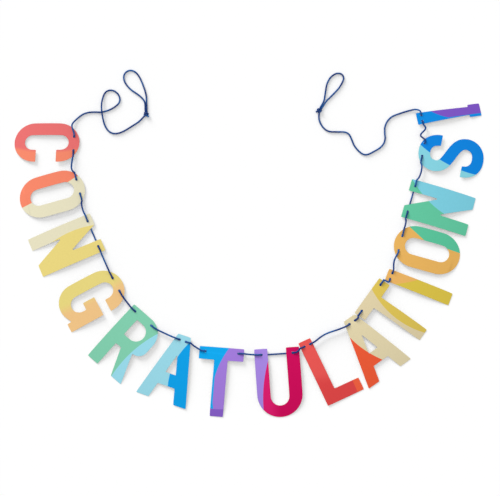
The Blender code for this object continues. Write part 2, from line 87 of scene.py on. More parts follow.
# %% Set up the camera
camera_tilt = math.radians(15)
camera_distance = 2.0856
sensor_width = 36
focal_length = 79.2
looked_at = Vector((0.0023, 0.0125, 0))
backwards = Vector((0, -math.sin(camera_tilt), math.cos(camera_tilt)))
bpy.ops.object.camera_add(location=looked_at + backwards * camera_distance, rotation=(camera_tilt, 0, 0))
camera = bpy.context.object
camera.name = "camera_above_table"
camera.data.sensor_width = sensor_width
camera.data.lens = focal_length
bpy.context.scene.camera = camera
print("the camera stands at", [round(value, 3) for value in camera.location])

# %% [markdown]
# ## Where the letters hang
# Each letter swings on a hinge along its line of holes. The hinge's place is the letter's own
# origin and the hinge's axis is its line of reading, so both are read from the model's joints. The
# places of the holes and of the card's two edges along that line differ by letter, in millimetres
# from the middle.

# %% Read the letters' places
holes_and_edges = {
    "c": (-12.30, 15.87, -27.30, 27.30),
    "o": (-15.22, 13.99, -29.03, 29.03),
    "n": (-26.41, 27.26, -40.00, 40.00),
    "g": (-14.14, 13.33, -29.52, 29.52),
    "r": (-30.50, 10.32, -41.27, 26.25),
    "a": (-6.32, 6.32, -15.26, 15.26),
    "t": (-30.13, 31.37, -41.27, 41.27),
    "u": (-28.79, 29.16, -41.66, 41.66),
    "l": (-28.99, -16.98, -36.70, -12.20),
    "i": (-6.12, 6.13, -12.25, 12.25),
    "s": (-14.45, 12.44, -28.26, 22.97),
    "mark": (-6.25, 6.25, -12.22, 12.22),
}
letters = []
for joint in frame["joints"]:
    if joint["name"].startswith("lift_"):
        tag = joint["name"].removeprefix("lift_")
        number, shape = tag.split("_")
        hole_1, hole_2, edge_1, edge_2 = [value / 1000 for value in holes_and_edges[shape]]
        letters.append({
            "tag": tag,
            "number": number,
            "origin": Vector(joint["pos_m"]),
            "along": -Vector(joint["axis"]),
            "holes": (hole_1, hole_2),
            "edges": (edge_1, edge_2),
        })
print(len(letters), "letters, from", letters[0]["tag"], "to", letters[-1]["tag"])

# %% [markdown]
# ## The cord's way through the holes
# The cord is sold as 2.5 mm thick: the backs of its strands reach 1.5 mm from its middle, and the
# grooves between them less. It enters a hole on a slant: two equal arcs take it from the card's
# front to its back, 3.5 mm lower. Arcs with a radius of 5.5 mm are as tight as such a cord bends
# without a kink. A short straight lead at each end of the stitch joins it to the next stretch of
# cord. Behind the card the cord is squeezed a little.

# %% Draw the stitch that holds a letter
cord_radius = 0.0015
squeezed_radius = 0.00136
behind_drop = 0.0035
bend_radius = 0.0055
cord_lead = 0.0008
clearance = 0.0003
arc_steps = 8
dive_angle = math.acos(1 - behind_drop / (2 * bend_radius))
dive_run = 2 * bend_radius * math.sin(dive_angle)


def place_on(letter, along, height=0):
    """A point on a letter's line of holes."""
    return letter["origin"] + letter["along"] * along + Vector((0, 0, height))


def up_from_foot(letter):
    """The level direction from a letter's foot to its top."""
    return Vector((-letter["along"].y, letter["along"].x, 0))


def stitch_ends(letter):
    """Where the stitch starts and ends along the line of holes."""
    first, second = letter["holes"]
    return first - dive_run / 2 - cord_lead, second + dive_run / 2 + cord_lead


def stitch_route(letter):
    """The cord down one hole, behind the card and up the other."""
    start, end = stitch_ends(letter)
    angles = [dive_angle * step / arc_steps for step in range(arc_steps + 1)]
    down = [(bend_radius * math.sin(angle), bend_radius * (math.cos(angle) - 1)) for angle in angles]
    down += [(dive_run - forward, -behind_drop - height) for forward, height in reversed(down[:-1])]
    points = [place_on(letter, start)]
    points += [place_on(letter, start + cord_lead + forward, height) for forward, height in down]
    points += [place_on(letter, end - cord_lead - forward, height) for forward, height in reversed(down)]
    return points + [place_on(letter, end)]


print("a stitch dives over", round(dive_run * 1000, 1), "mm")

# %% [markdown]
# ## The cord between two letters
# From one letter's front the cord goes to the next one's. It leaves along the first letter's line
# and arrives along the second one's, which a cubic curve does with two handles. A few stretches bow
# to one side, as the photograph shows. None sags: cotton cord is stiff enough to carry itself over
# a few centimetres, and a letter that slides along it stays under it.
#
# A letter that lifts turns about its line of holes, so over a card the cord must not lie on the
# foot's side of that line, where the card would pass through it. Points that do are moved a quarter
# of a millimetre past the line. That leaves a corner, so the way is eased and cleared in turns
# until it runs smoothly.

# %% Draw the cord between two letters
bows_and_waves = {
    "01_c": (-0.10, 0.02),
    "02_o": (-0.05, 0),
    "09_l": (0.06, 0.01),
    "12_i": (0.10, 0),
    "13_o": (-0.03, 0),
    "14_n": (-0.09, 0),
    "15_s": (0.12, 0.16),
}
handle_share = 0.15
span_step = 0.001
fewest_span_steps = 24
lift_room = 0.00025
room_reached_after = 0.004
easing_passes = 12


def clear_of_lift(points, letter, stitch_end, edge):
    """Moves the points over a card from the foot's side to just past its line of holes."""
    upwards = up_from_foot(letter)
    low, high = sorted((stitch_end, edge))
    cleared = []
    for point in points:
        way = (point - letter["origin"]).dot(letter["along"])
        beside = (point - letter["origin"]).dot(upwards)
        room = lift_room * min(abs(way - stitch_end) / room_reached_after, 1)
        over_card = low - cord_radius < way < high + cord_radius
        cleared.append(point - upwards * min(beside - room, 0) if over_card else point)
    return cleared


def eased(points):
    """The same way with every point drawn towards its neighbours, and two points kept at each end."""
    middle = [(before + 2 * point + after) / 4
              for before, point, after in zip(points[1:], points[2:-2], points[3:])]
    return points[:2] + middle + points[-2:]


def span_route(letter, following):
    """The cord from one letter's front to the next one's."""
    bow, wave = bows_and_waves.get(letter["tag"], (0, 0))
    out, back = stitch_ends(letter)[1], stitch_ends(following)[0]
    start = place_on(letter, out + clearance + cord_lead)
    end = place_on(following, back - clearance - cord_lead)
    way = (end - start).length
    handles = [start, start + letter["along"] * handle_share * way,
               end - following["along"] * handle_share * way, end]
    side = Vector((start.y - end.y, end.x - start.x, 0))
    points = [place_on(letter, out)]
    steps = max(fewest_span_steps, round(way / span_step))
    for step in range(steps + 1):
        share = step / steps
        left = 1 - share
        weights = (left ** 3, 3 * left ** 2 * share, 3 * left * share ** 2, share ** 3)
        place = sum((handle * weight for handle, weight in zip(handles, weights)), Vector())
        fade = math.sin(math.pi * share) ** 2
        place += side * fade * (bow + wave * 2 * math.sin(2 * math.pi * share))
        points.append(place)
    points.append(place_on(following, back))
    for _ in range(easing_passes):
        points = clear_of_lift(eased(points), letter, out, letter["edges"][1])
        points = clear_of_lift(points, following, back, following["edges"][0])
    return points


# %% [markdown]
# ## The free ends and the loops
# Both ends of the cord lie loose on the table and run into a knot, and beyond each knot is a loop
# for hanging the banner up. The photograph shows the whole cord, so its course is followed: the
# left end crosses over itself once. The points are metres from the hole that the cord leaves,
# across and up, then the height as a share of the height on the letters. Where the cord crosses
# itself, it is as high as two cords need. A smooth curve goes through the points, as a real cord
# can't turn a corner.

# %% List the free ends' points
over_itself = (2 * cord_radius + clearance) / behind_drop
left_end_points = [
    (-0.0020, 0.0120, 1),
    (-0.0045, 0.0195, 1),
    (-0.0042, 0.0265, 0.65),
    (0.0025, 0.0360, 0.15),
    (0.0140, 0.0465, 0),
    (0.0255, 0.0510, 0),
    (0.0375, 0.0520, 0),
    (0.0525, 0.0520, 0),
    (0.0675, 0.0570, 0),
    (0.0790, 0.0645, 0),
    (0.0855, 0.0725, 0),
    (0.0860, 0.0815, 0),
    (0.0820, 0.0905, 0),
    (0.0735, 0.0970, 0),
    (0.0640, 0.0975, 0),
    (0.0570, 0.0925, 0),
    (0.0530, 0.0815, 0.2),
    (0.0512, 0.0665, over_itself * 0.8),
    (0.0523, 0.0520, over_itself),
    (0.0545, 0.0390, over_itself * 0.6),
    (0.0580, 0.0260, 0.1),
    (0.0645, 0.0145, 0),
    (0.0735, 0.0080, 0),
    (0.0840, 0.0075, 0),
    (0.0950, 0.0115, 0),
    (0.1105, 0.0215, 0),
    (0.1250, 0.0320, 0),
    (0.1351, 0.0431, 0),
]
right_end_points = [
    (-0.0025, 0.0090, 0.9),
    (-0.0070, 0.0115, 0.6),
    (-0.0140, 0.0120, 0.3),
    (-0.0270, 0.0090, 0),
    (-0.0420, 0.0040, 0),
    (-0.0570, -0.0025, 0),
    (-0.0665, -0.0125, 0),
    (-0.0715, -0.0245, 0),
    (-0.0722, -0.0365, 0),
    (-0.0718, -0.0480, 0),
    (-0.0750, -0.0585, 0),
    (-0.0830, -0.0675, 0),
    (-0.0950, -0.0750, 0),
    (-0.1060, -0.0805, 0),
    (-0.1145, -0.0805, 0),
    (-0.1235, -0.0740, 0),
    (-0.1325, -0.0620, 0),
    (-0.1375, -0.0485, 0),
    (-0.1420, -0.0390, 0),
    (-0.1505, -0.0345, 0),
    (-0.1645, -0.0340, 0),
    (-0.1805, -0.0330, 0),
    (-0.1905, -0.0265, 0),
    (-0.1975, -0.0155, 0),
    (-0.2000, -0.0050, 0),
    (-0.1993, 0.0050, 0),
]

# %% List the loops' points
left_loop_points = [
    (0.0013, 0.0054),
    (0.0011, 0.0120),
    (0.0008, 0.0190),
    (0.0002, 0.0280),
    (-0.0006, 0.0380),
    (-0.0032, 0.0490),
    (-0.0085, 0.0640),
    (-0.0155, 0.0795),
    (-0.0230, 0.0890),
    (-0.0320, 0.0930),
    (-0.0405, 0.0905),
    (-0.0455, 0.0830),
    (-0.0455, 0.0735),
    (-0.0410, 0.0635),
    (-0.0315, 0.0525),
    (-0.0175, 0.0420),
    (-0.0085, 0.0340),
    (-0.0036, 0.0265),
    (-0.0023, 0.0190),
    (-0.0020, 0.0120),
    (-0.0016, 0.0054),
]
right_loop_points = [
    (0.0014, 0.0051),
    (0.0042, 0.0103),
    (0.0072, 0.0155),
    (0.0098, 0.0220),
    (0.0113, 0.0300),
    (0.0130, 0.0410),
    (0.0160, 0.0560),
    (0.0225, 0.0690),
    (0.0325, 0.0775),
    (0.0425, 0.0785),
    (0.0483, 0.0730),
    (0.0480, 0.0635),
    (0.0400, 0.0485),
    (0.0275, 0.0340),
    (0.0165, 0.0225),
    (0.0104, 0.0142),
    (0.0070, 0.0088),
    (0.0039, 0.0036),
]

# %% Turn the points into smooth curves
steps_between_points = 12
ring_step = 0.00055


def smooth_through(points):
    """A dense smooth curve through the given points."""
    padded = [2 * points[0] - points[1]] + points + [2 * points[-1] - points[-2]]
    dense = []
    for index in range(1, len(padded) - 2):
        a, b, c, d = padded[index - 1:index + 3]
        for step in range(steps_between_points):
            t = step / steps_between_points
            dense.append((2 * b + (c - a) * t + (2 * a - 5 * b + 4 * c - d) * t ** 2
                          + (3 * b - a - 3 * c + d) * t ** 3) / 2)
    return dense + [points[-1]]


def even_points(points, step=ring_step):
    """Points at even distances along a dense curve, with both ends kept."""
    places = np.array([tuple(point) for point in points])
    gone = np.concatenate([[0], np.cumsum(np.linalg.norm(np.diff(places, axis=0), axis=1))])
    goals = np.linspace(0, gone[-1], max(2, round(gone[-1] / step) + 1))
    return np.stack([np.interp(goals, gone, places[:, axis]) for axis in range(3)], axis=1)


def length_of(points):
    """Length of a line through points."""
    return float(np.linalg.norm(np.diff(np.asarray(points), axis=0), axis=1).sum())


def end_route(letter, hole, end, rows):
    """A free end of the cord, from the letter's front to its knot on the table."""
    hole_place = place_on(letter, hole)
    lead = math.copysign(2 * cord_lead, end)
    points = [place_on(letter, end), place_on(letter, end + lead)]
    for across, up, height_share in rows:
        height = cord_radius + height_share * behind_drop
        points.append(Vector((hole_place.x + across, hole_place.y + up, height)))
    return [points[0]] + smooth_through(points[1:])


first_letter, last_letter = letters[0], letters[-1]
left_start, right_start = stitch_ends(first_letter)[0], stitch_ends(last_letter)[1]
left_end = end_route(first_letter, first_letter["holes"][0], left_start, left_end_points)
right_end = end_route(last_letter, last_letter["holes"][1], right_start, right_end_points)
print("free ends of", [round(length_of(end) * 1000) for end in (left_end, right_end)], "mm")

# %% [markdown]
# ## A cord laid from three strands
# Cotton cord of this size is laid: three strands are twisted round each other, once in about 8 mm.
# Seen close, that gives slanting grooves. A ring with three bulges is therefore carried along the
# whole way and turned as it goes. The middle of a strand lies 0.46 of the cord's radius out, and
# the strand's own radius is 0.54 of it. The cord is soft, so it lies a little wider than it is
# high. Behind a card it is squeezed between the card and the table, and in a hole it spreads out to
# its sides. The banner's cord is one piece, so its rings are laid out once from end to end, and the
# pieces that have to move apart are cut from that one row of rings. Their twist then runs on across
# every cut.

# %% Lay the cord's rings
strand_points = 5
twist_length = 0.008
strand_reach, strand_size = 0.46, 0.54
cord_spread = 1.18
hole_spread = 1.6
ring_angles = np.arange(3 * strand_points) * 2 * math.pi / (3 * strand_points)
from_strand = (ring_angles % (2 * math.pi / 3)) - math.pi / 3
ring_bulge = strand_reach * np.cos(from_strand) + np.sqrt(
    strand_size ** 2 - (strand_reach * np.sin(from_strand)) ** 2)


def laid_rings(centres, radius, spread=cord_spread):
    """Rings of a laid cord along its centres, each turned a little further than the one before."""
    radii = np.broadcast_to(radius, len(centres))
    spreads = np.broadcast_to(spread, len(centres))
    headings = np.gradient(centres, axis=0)
    headings /= np.linalg.norm(headings, axis=1)[:, None]
    gone = np.concatenate([[0], np.cumsum(np.linalg.norm(np.diff(centres, axis=0), axis=1))])
    side = np.cross(headings[0], (0, 0, 1))
    side /= np.linalg.norm(side)
    rings = []
    for centre, heading, way, reach, wider in zip(centres, headings, gone, radii, spreads):
        side = side - heading * side.dot(heading)
        side /= np.linalg.norm(side)
        turns = ring_angles + 2 * math.pi * way / twist_length
        across = np.cos(turns)[:, None] * side + np.sin(turns)[:, None] * np.cross(heading, side)
        across *= ring_bulge[:, None]
        sideways = np.cross(heading, (0, 0, 1))
        sideways /= np.linalg.norm(sideways)
        across += np.outer(across @ sideways, sideways) * (wider - 1)
        rings.append(centre + reach * across)
    return np.array(rings), gone


def cord_piece(name, rings, gone):
    """A closed mesh from a row of rings, with a UV map in strands round and millimetres along."""
    count, around = rings.shape[:2]
    faces, corners = [], []
    for row in range(count - 1):
        for column in range(around):
            following = (column + 1) % around
            faces.append((row * around + column, row * around + following,
                          (row + 1) * around + following, (row + 1) * around + column))
            low, high = column / strand_points, (column + 1) / strand_points
            near, far = gone[row] * 1000, gone[row + 1] * 1000
            corners += [(low, near), (high, near), (high, far), (low, far)]
    faces.append(tuple(reversed(range(around))))
    faces.append(tuple((count - 1) * around + column for column in range(around)))
    corners += [(0.5, gone[0] * 1000)] * around + [(0.5, gone[-1] * 1000)] * around
    mesh = bpy.data.meshes.new(name)
    mesh.from_pydata(rings.reshape(-1, 3).tolist(), [], faces)
    mesh.uv_layers.new(name="cord_way").data.foreach_set("uv", np.array(corners, np.float32).ravel())
    mesh.polygons.foreach_set("use_smooth", [True] * len(mesh.polygons))
    piece = bpy.data.objects.new(name, mesh)
    bpy.context.collection.objects.link(piece)
    return piece


# %% [markdown]
# ## Cutting the cord into pieces that move
# A letter can slide along the cord and lift up. The stitch in its holes goes with the card. The
# stretch between two letters is cut in its middle into two halves, and a short lead is cut from
# each free end; these pieces stay where they are laid, and the rest of each free end lies still.
# The left end leaves the first letter in a bow on the foot's side. The bow is cut off as a piece of
# its own and ends where the cord meets the line of holes again, a point that stays where it is when
# the letter turns.

# %% Lay the cord from its left end to its right end
lead_length = 0.040
bow_length = 0.033
into_knot = 0.0016


def split_at(points, length):
    """Two parts of a dense curve, cut at a length along it."""
    even = even_points(points)
    cut = min(max(round(length / length_of(even) * (len(even) - 1)), 1), len(even) - 2)
    return even[:cut + 1], even[cut:]


def longer(points, extra):
    """A curve drawn on straight past its last point."""
    ahead = (points[-1] - points[-2]).normalized()
    return list(points) + [points[-1] + ahead * extra]


bow, rest = split_at(longer(left_end, into_knot), bow_length)
lead, rest = split_at(rest, lead_length)
parts = [("cord_end_left", rest[::-1]), ("cord_lead_left", lead[::-1]), ("cord_bow_left", bow[::-1])]
for letter, following in zip(letters, letters[1:] + [None]):
    parts.append(("cord_stitch_" + letter["tag"], even_points(stitch_route(letter))))
    if following:
        route = span_route(letter, following)
        first, second = split_at(route, length_of(route) / 2)
        way = "cord_" + letter["number"] + "_to_" + following["number"]
        parts += [(way + "_first_half", first), (way + "_second_half", second)]
lead, rest = split_at(longer(right_end, into_knot), lead_length)
parts += [("cord_lead_right", lead), ("cord_end_right", rest)]
ways = dict(parts)

centres = np.concatenate([parts[0][1]] + [points[1:] for name, points in parts[1:]])
in_stitch = np.concatenate([[0]] + [
    np.full(len(points) - 1, name.startswith("cord_stitch_"), float) for name, points in parts])
# 0 in front of a card and 1 behind it
depth = in_stitch * np.clip((first_letter["origin"].z - centres[:, 2]) / behind_drop, 0, 1)
spread = cord_spread + np.sin(math.pi * depth) * (hole_spread - cord_spread)
rings, gone = laid_rings(centres, cord_radius + depth * (squeezed_radius - cord_radius), spread)
cord_pieces = {}
start = 0
for name, points in parts:
    end = start + len(points) - 1
    cord_pieces[name] = cord_piece(name, rings[start:end + 1], gone[start:end + 1])
    start = end
print(len(cord_pieces), "pieces of cord,", round(gone[-1], 2), "m in all, without knots and loops")

# %% Let each stitch follow its letter, and hide the model's cord
for letter in letters:
    stitch = cord_pieces["cord_stitch_" + letter["tag"]]
    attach(stitch, "card_" + letter["tag"])
    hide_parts("cord_through_" + letter["tag"])

for letter, following in zip(letters, letters[1:]):
    numbers = [letter["number"], following["number"]]
    first = cord_pieces["cord_" + "_to_".join(numbers) + "_first_half"]
    second = cord_pieces["cord_" + "_to_".join(numbers) + "_second_half"]
    cut_ring = second.data.vertices[:len(ring_angles)]
    middle = sum((vertex.co for vertex in cut_ring), Vector()) / len(ring_angles)
    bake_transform(first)
    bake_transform(second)
    for half in (first, second):
        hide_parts("cord_span_" + "_".join(numbers))

for side, letter, ends in (("left", first_letter, (-1, 0)), ("right", last_letter, (0, -1))):
    lead = cord_pieces["cord_lead_" + side]
    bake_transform(lead)
    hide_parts("cord_tail_" + side)

bow_piece = cord_pieces["cord_bow_left"]
bow_end = Vector(ways["cord_bow_left"][0])
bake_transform(bow_piece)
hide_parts("cord_tail_left")
beside = (bow_end - first_letter["origin"]).dot(up_from_foot(first_letter))
print("the left bow ends", round(beside * 1000, 1), "mm beside the line of holes")

# %% [markdown]
# ## Knots and cut ends
# Each end of the cord is folded back and tied in an overhand knot, which leaves the loop beyond it.
# Pulled tight, the knot is a round lump of three curls, each over one neighbour and under the next.
# A trefoil curve has exactly these crossings. The cord in it is squeezed, so it is thinner. The
# short cut end sticks out beside the knot, rises from its middle and frays, so it grows wider to
# its tip.

# %% Tie the knots
curl_radius = 0.0014
knot_cord_radius = 0.0014
knot_wave = 0.0013
knot_steps = 240
fine_step = 0.0004
# From the knot's middle: how far out the cut end is, and how high
cut_end_rows = [(0.0008, 0.0024), (0.0026, 0.0023), (0.0044, 0.0022), (0.0060, 0.0021), (0.0074, 0.0021)]
cut_radius, frayed_radius = 0.00135, 0.0021
cut_headings = {"left": math.radians(-48), "right": math.radians(205)}


def knot_centres(middle, heading):
    """The way of the cord through three curls."""
    points = []
    for step in range(knot_steps + 1):
        turn = 2 * math.pi * step / knot_steps
        reach = curl_radius * (2 + math.cos(3 * turn))
        points.append((middle.x + reach * math.cos(2 * turn + heading),
                       middle.y + reach * math.sin(2 * turn + heading),
                       knot_cord_radius + knot_wave * (1 + math.sin(3 * turn))))
    return np.array(points)


# The model's knot has a cord of 1 mm radius, and the free ends stop just short of it
knot_reach = 3 * curl_radius + 0.001 + clearance
knots = {}
for side, route in (("left", left_end), ("right", right_end)):
    tip, before = route[-1], route[-2]
    ahead = (tip - before).normalized()
    middle = Vector((tip.x + ahead.x * knot_reach, tip.y + ahead.y * knot_reach, 0))
    heading = math.atan2(-ahead.y, -ahead.x)
    knot_way = even_points(knot_centres(middle, heading), fine_step)
    knot = cord_piece("cord_knot_" + side, *laid_rings(knot_way, knot_cord_radius, 1))
    outward = Vector((math.cos(cut_headings[side]), math.sin(cut_headings[side]), 0))
    cut_points = [middle + outward * reach + Vector((0, 0, height)) for reach, height in cut_end_rows]
    cut_way = even_points(smooth_through(cut_points), fine_step)
    widening = np.linspace(cut_radius, frayed_radius, len(cut_way))
    cut_end = cord_piece("cord_cut_end_" + side, *laid_rings(cut_way, widening, 1))
    knots[side] = {"middle": middle, "knot": knot, "cut_end": cut_end}
    for piece in (knot, cut_end):
        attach(piece, "cord")
        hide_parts("knot_" + side)
print("the knots lie at", [[round(value, 4) for value in knots[side]["middle"]] for side in knots])


for side, rows in (("left", left_loop_points), ("right", right_loop_points)):
    middle = knots[side]["middle"]
    points = smooth_through([middle + Vector((across, up, cord_radius)) for across, up in rows])
    points = longer(longer(points, into_knot)[::-1], into_knot)[::-1]
    loop_centres = even_points(points)
    loop = cord_piece("cord_loop_" + side, *laid_rings(loop_centres, cord_radius))
    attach(loop, "cord")
    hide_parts("hanging_loop_" + side)
    free_end = cord_pieces["cord_end_" + side]
    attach(free_end, "cord")
    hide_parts("cord_tail_" + side)
    way = ways["cord_end_" + side]
    way = way[::-1] if side == "left" else way
    lengths = [round(length_of(points) * 1000) for points in (loop_centres, way)]
    print(side, "loop and free end of", lengths, "mm")

# %% [markdown]
# ## The card letters
# Each letter is die-cut from one sheet of board, half a millimetre thick. The measured solid
# already has the outline and the holes, so a copy of its mesh is the start, as a cutter starts from
# a flat sheet. The knife rolls the front edge over by about a tenth of a millimetre, which a narrow
# bevel gives. The solid's curves are short straight facets, so the upright edges between them are
# bevelled first, which makes the outline as smooth as a die's. Card fresh from its packet never
# lies flat: it hangs on the cord at one end, rests on the table with its foot and arches a few
# millimetres up in between, so that a wide shadow shows all round it. For that the sheet is first
# cut into rows. Every point between two rows is then lifted along the straight line between them,
# which keeps each strip flat, and smooth shading blends the strips.
#
# The exclamation mark's stroke is photographed wider than the solid's, almost as wide as the block
# under it. Its corners at the top and at the neck are moved out before anything else, and its holes
# and its block stay.

# %% Get a letter's sheet ready
card_drop = 0.0018
board_thickness = 0.0005


def letter_frame(letter):
    """Turns the letter's own frame to its place, tipped so that its foot meets the table."""
    turn = math.atan2(letter["along"].y, letter["along"].x)
    back = card_drop + board_thickness / 2
    foot_below = math.asin(letter["origin"].z / math.hypot(letter["reach"], back))
    tip = foot_below - math.atan2(back, letter["reach"])
    return (Matrix.Translation(letter["origin"]) @ Matrix.Rotation(turn, 4, "Z")
            @ Matrix.Rotation(tip, 4, "X"))


def reach_of(letter):
    """How far the letter's foot is below its line of holes."""
    upwards = up_from_foot(letter)
    node = frame["nodes"]["letter_" + letter["tag"]]
    level = min((vertex.co - letter["origin"]).dot(upwards) for vertex in node.data.vertices)
    return -level


for letter in letters:
    letter["reach"] = reach_of(letter)
print("feet are", sorted({round(letter["reach"] * 1000, 1) for letter in letters}), "mm below the holes")


# %% Merge a copy of the solid's mesh
merge_distance = 0.00001
flat_angle = math.radians(1)


def only(piece):
    """Selects one piece and nothing else."""
    bpy.ops.object.select_all(action="DESELECT")
    piece.select_set(True)
    bpy.context.view_layer.objects.active = piece


def merged_sheet(letter, place):
    """A copy of the solid's mesh in the letter's own frame, with its loose triangles merged."""
    node = frame["nodes"]["letter_" + letter["tag"]]
    card = bpy.data.objects.new("card_" + letter["tag"], node.data.copy())
    bpy.context.collection.objects.link(card)
    card.data.transform(place.inverted())
    only(card)
    bpy.ops.object.mode_set(mode="EDIT")
    bpy.ops.mesh.select_mode(type="EDGE")
    bpy.ops.mesh.select_all(action="SELECT")
    bpy.ops.mesh.remove_doubles(threshold=merge_distance)
    bpy.ops.mesh.dissolve_limited(angle_limit=flat_angle)
    bpy.ops.mesh.select_all(action="DESELECT")
    return card


# %% Let out the exclamation mark's stroke
hole_zone = 0.004
block_starts = 0.010
top_growth = 0.0019
neck_growth = 0.0016


def stroke_growth(corner):
    """How far a corner of the exclamation mark is moved out from its middle."""
    if corner.y > hole_zone:
        return top_growth
    if corner.y < -hole_zone and abs(corner.x) < block_starts:
        return neck_growth
    return 0


def let_out_stroke(card):
    """Widens the stroke of the exclamation mark's sheet."""
    sheet = bmesh.from_edit_mesh(card.data)
    for vertex in sheet.verts:
        vertex.co.x += math.copysign(stroke_growth(vertex.co), vertex.co.x)
    sheet.normal_update()
    bmesh.update_edit_mesh(card.data)


# %% Round the outline and roll its front edge
facet_angles = math.radians(2), math.radians(80)
share_of_facet = 42
edge_roll = 0.00012
standing, facing_up, facing_aside = 0.9, 0.9, 0.5


def round_and_roll(card):
    """Bevels the upright edges between facets, then the edge all round the front."""
    sheet = bmesh.from_edit_mesh(card.data)
    for edge in sheet.edges:
        upright = abs((edge.verts[1].co - edge.verts[0].co).normalized().z) > standing
        edge.select_set(upright and facet_angles[0] < edge.calc_face_angle(0) < facet_angles[1])
    bmesh.update_edit_mesh(card.data)
    bpy.ops.mesh.bevel(offset_type="PERCENT", offset_pct=share_of_facet, segments=3, affect="EDGES")
    bpy.ops.mesh.select_all(action="DESELECT")
    sheet = bmesh.from_edit_mesh(card.data)
    for edge in sheet.edges:
        facing = sorted(face.normal.z for face in edge.link_faces)
        edge.select_set(len(facing) == 2 and facing[1] > facing_up and facing[0] < facing_aside)
    bmesh.update_edit_mesh(card.data)
    bpy.ops.mesh.bevel(offset=edge_roll, segments=2, affect="EDGES")


# %% Cut the sheet into rows and arch it
row_height = 0.004
rows_above_holes = 4
twist_width = 0.04


def arch_sheet(card, place, reach, arch, twist):
    """Cuts the sheet into rows, lifts its middle, twists it and sets its foot on the table."""
    row_lines = row_height * (np.arange(-math.ceil(reach / row_height), rows_above_holes) + 0.5)
    for line in row_lines:
        bpy.ops.mesh.select_all(action="SELECT")
        bpy.ops.mesh.bisect(plane_co=(0, line, 0), plane_no=(0, 1, 0))
    bpy.ops.mesh.select_all(action="DESELECT")
    bpy.ops.object.mode_set(mode="OBJECT")
    row_shares = -row_lines / reach
    # A parabola that is as high as the arch half way to the foot
    lifts = 4 * arch * row_shares * (1 - row_shares)
    for vertex in card.data.vertices:
        share = -vertex.co.y / reach
        twisted = twist * share * vertex.co.x / twist_width
        vertex.co.z += np.interp(vertex.co.y, row_lines, lifts) + twisted
    sunk = min(min((place @ vertex.co).z for vertex in card.data.vertices), 0)
    for vertex in card.data.vertices:
        vertex.co.z += sunk * vertex.co.y / reach


# %% Make all sixteen cards
middle_arch, arch_varies = 0.0022, 0.0004
twist_varies = 0.0006
smooth_below = math.radians(15)

cards = {}
for index, letter in enumerate(letters):
    # Sines of the letter's number, so that neighbours lie differently
    arch = middle_arch + arch_varies * math.sin(2.1 * index)
    twist = twist_varies * math.sin(1.3 * index + 0.5)
    place = letter_frame(letter)
    card = merged_sheet(letter, place)
    if letter["tag"].endswith("mark"):
        let_out_stroke(card)
    round_and_roll(card)
    arch_sheet(card, place, letter["reach"], arch, twist)
    card.matrix_world = place
    only(card)
    bpy.ops.object.transform_apply(location=True, rotation=True, scale=True)
    bpy.ops.object.shade_smooth_by_angle(angle=smooth_below)
    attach(card, "card_" + letter["tag"])
    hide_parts("letter_" + letter["tag"])
    cards[letter["tag"]] = card
print(len(cards), "cards,", sum(len(card.data.polygons) for card in cards.values()), "faces")

# %% [markdown]
# ## Helpers for materials
# Colours are written as the hex values that a screen shows. Blender's shaders count light evenly,
# so one function turns them to linear. Another small function adds a node, sets its values and
# links its sockets, which keeps each material short enough to read. A number that is the same all
# over a surface is set on the shader's own socket at the end, because an exported model keeps it
# only there.

# %% Write the two material helpers
def linear(hex_colour):
    """An sRGB hex colour as linear red, green, blue and alpha."""
    channels = [int(hex_colour[index:index + 2], 16) / 255 for index in (1, 3, 5)]
    return [value / 12.92 if value <= 0.04045 else ((value + 0.055) / 1.055) ** 2.4
            for value in channels] + [1]


def add_node(tree, kind, inputs=None, **settings):
    """Adds one node with its settings. Each input is a value, or a socket to link."""
    made = tree.nodes.new("ShaderNode" + kind)
    for name, value in settings.items():
        setattr(made, name, value)
    for name, value in (inputs or {}).items():
        if isinstance(value, bpy.types.NodeSocket):
            tree.links.new(value, made.inputs[name])
        else:
            made.inputs[name].default_value = value
    return made


def new_material(name):
    """An empty material, its tree and its Principled shader."""
    made = bpy.data.materials.new(name)
    made.use_nodes = True
    return made, made.node_tree, made.node_tree.nodes["Principled BSDF"]


# %% [markdown]
# ## Bare board
# The back and the cut edge show the board itself: bleached pulp, pressed and uncoated. It is an
# off-white without shine, slightly cloudy where the fibres lie thicker, with a fine felt-like
# grain. Real fibres are finer than the picture can show, so the grain is drawn about a millimetre
# wide.

# %% Make the bare board
def fibre_grain(tree, place, strength):
    """A bump of paper fibres, drawn about a millimetre wide."""
    grain = add_node(tree, "TexNoise", {"Vector": place, "Scale": 900, "Detail": 4, "Roughness": 0.6})
    return add_node(tree, "Bump", {"Strength": strength, "Distance": 0.0002,
                                   "Height": grain.outputs["Fac"]})


bare_board, tree, shader = new_material("bleached_pulp_board")
place = add_node(tree, "TexCoord").outputs["Object"]
# Clouds of fibre about 4.5 mm wide
clouds = add_node(tree, "TexNoise", {"Vector": place, "Scale": 220, "Detail": 3})
colour = add_node(tree, "Mix", {0: clouds.outputs["Fac"], 6: linear("#E9E5DB"), 7: linear("#F6F3EC")},
                  data_type="RGBA")
tree.links.new(colour.outputs[2], shader.inputs["Base Color"])
tree.links.new(fibre_grain(tree, place, 0.25).outputs["Normal"], shader.inputs["Normal"])
shader.inputs["Roughness"].default_value = 0.85
shader.inputs["IOR"].default_value = 1.5
shader.inputs["Specular IOR Level"].default_value = 0.25

# %% [markdown]
# ## The printed fronts
# Offset ink lies on a smooth, faintly satin coat. Each letter has fields of plain colour with
# curved borders, so that one colour runs on into the next letter. A border is a curve through three
# points, measured as shares of the letter's height from the middle of its foot. Everything to one
# side of it gets the next colour: right of it, left of it, or down to the foot. Most borders are
# sharp, and a few colours blend softly over a tenth of the height either way. A Mapping node turns
# the piece's own coordinates into these shares, so the print stays on the card when the letter
# moves.

